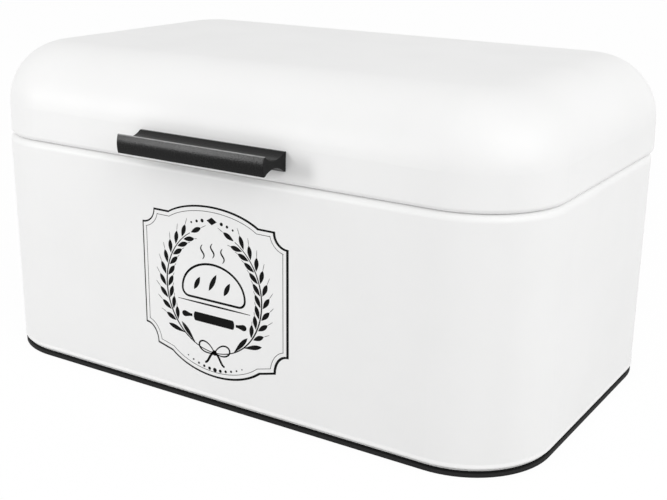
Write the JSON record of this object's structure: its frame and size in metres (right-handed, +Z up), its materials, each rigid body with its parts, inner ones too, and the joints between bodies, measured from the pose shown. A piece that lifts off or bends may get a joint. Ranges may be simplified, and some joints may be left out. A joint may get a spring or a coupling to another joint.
{
  "type": "bread box",
  "caption": "Round-cornered sheet steel bread box with a rear-hinged domed-edge lid, a grooved bar handle and a dark edge trim round its base.",
  "frame": {"origin": "centre of the base, on the surface that the box stands on", "axes": "+X to the right along the front, -Y out of the front, +Z up; the lid swings back towards +Y"},
  "size_m": [0.421, 0.283, 0.2218],
  "materials": {
    "white_coated_steel": "satin white powder coat",
    "black_rubber": "matt black",
    "black_handle": "satin black, fine grain",
    "hinge_steel": "bright zinc plated",
    "rivet_metal": "satin"
  },
  "bodies": {
    "body": {"body_shell": "white_coated_steel", "base_panel": "white_coated_steel", "base_edge_trim": "black_rubber", "left_hinge_body_leaf": "hinge_steel", "left_hinge_pin": "hinge_steel", "left_hinge_body_rivets": "rivet_metal", "right_hinge_body_leaf": "hinge_steel", "right_hinge_pin": "hinge_steel", "right_hinge_body_rivets": "rivet_metal"},
    "lid": {"lid_shell": "white_coated_steel", "handle_bar": "black_handle", "left_hinge_lid_leaf": "hinge_steel", "left_hinge_lid_rivets": "rivet_metal", "left_handle_screw": "hinge_steel", "left_handle_washer": "hinge_steel", "right_hinge_lid_leaf": "hinge_steel", "right_hinge_lid_rivets": "rivet_metal", "right_handle_screw": "hinge_steel", "right_handle_washer": "hinge_steel"}
  },
  "joints": [
    {"name": "lid_hinge", "type": "hinge", "parent": "body", "child": "lid", "pos_m": [0, 0.12955, 0.1563], "axis": [-1, 0, 0], "range_deg": [0, 100]}
  ]
}
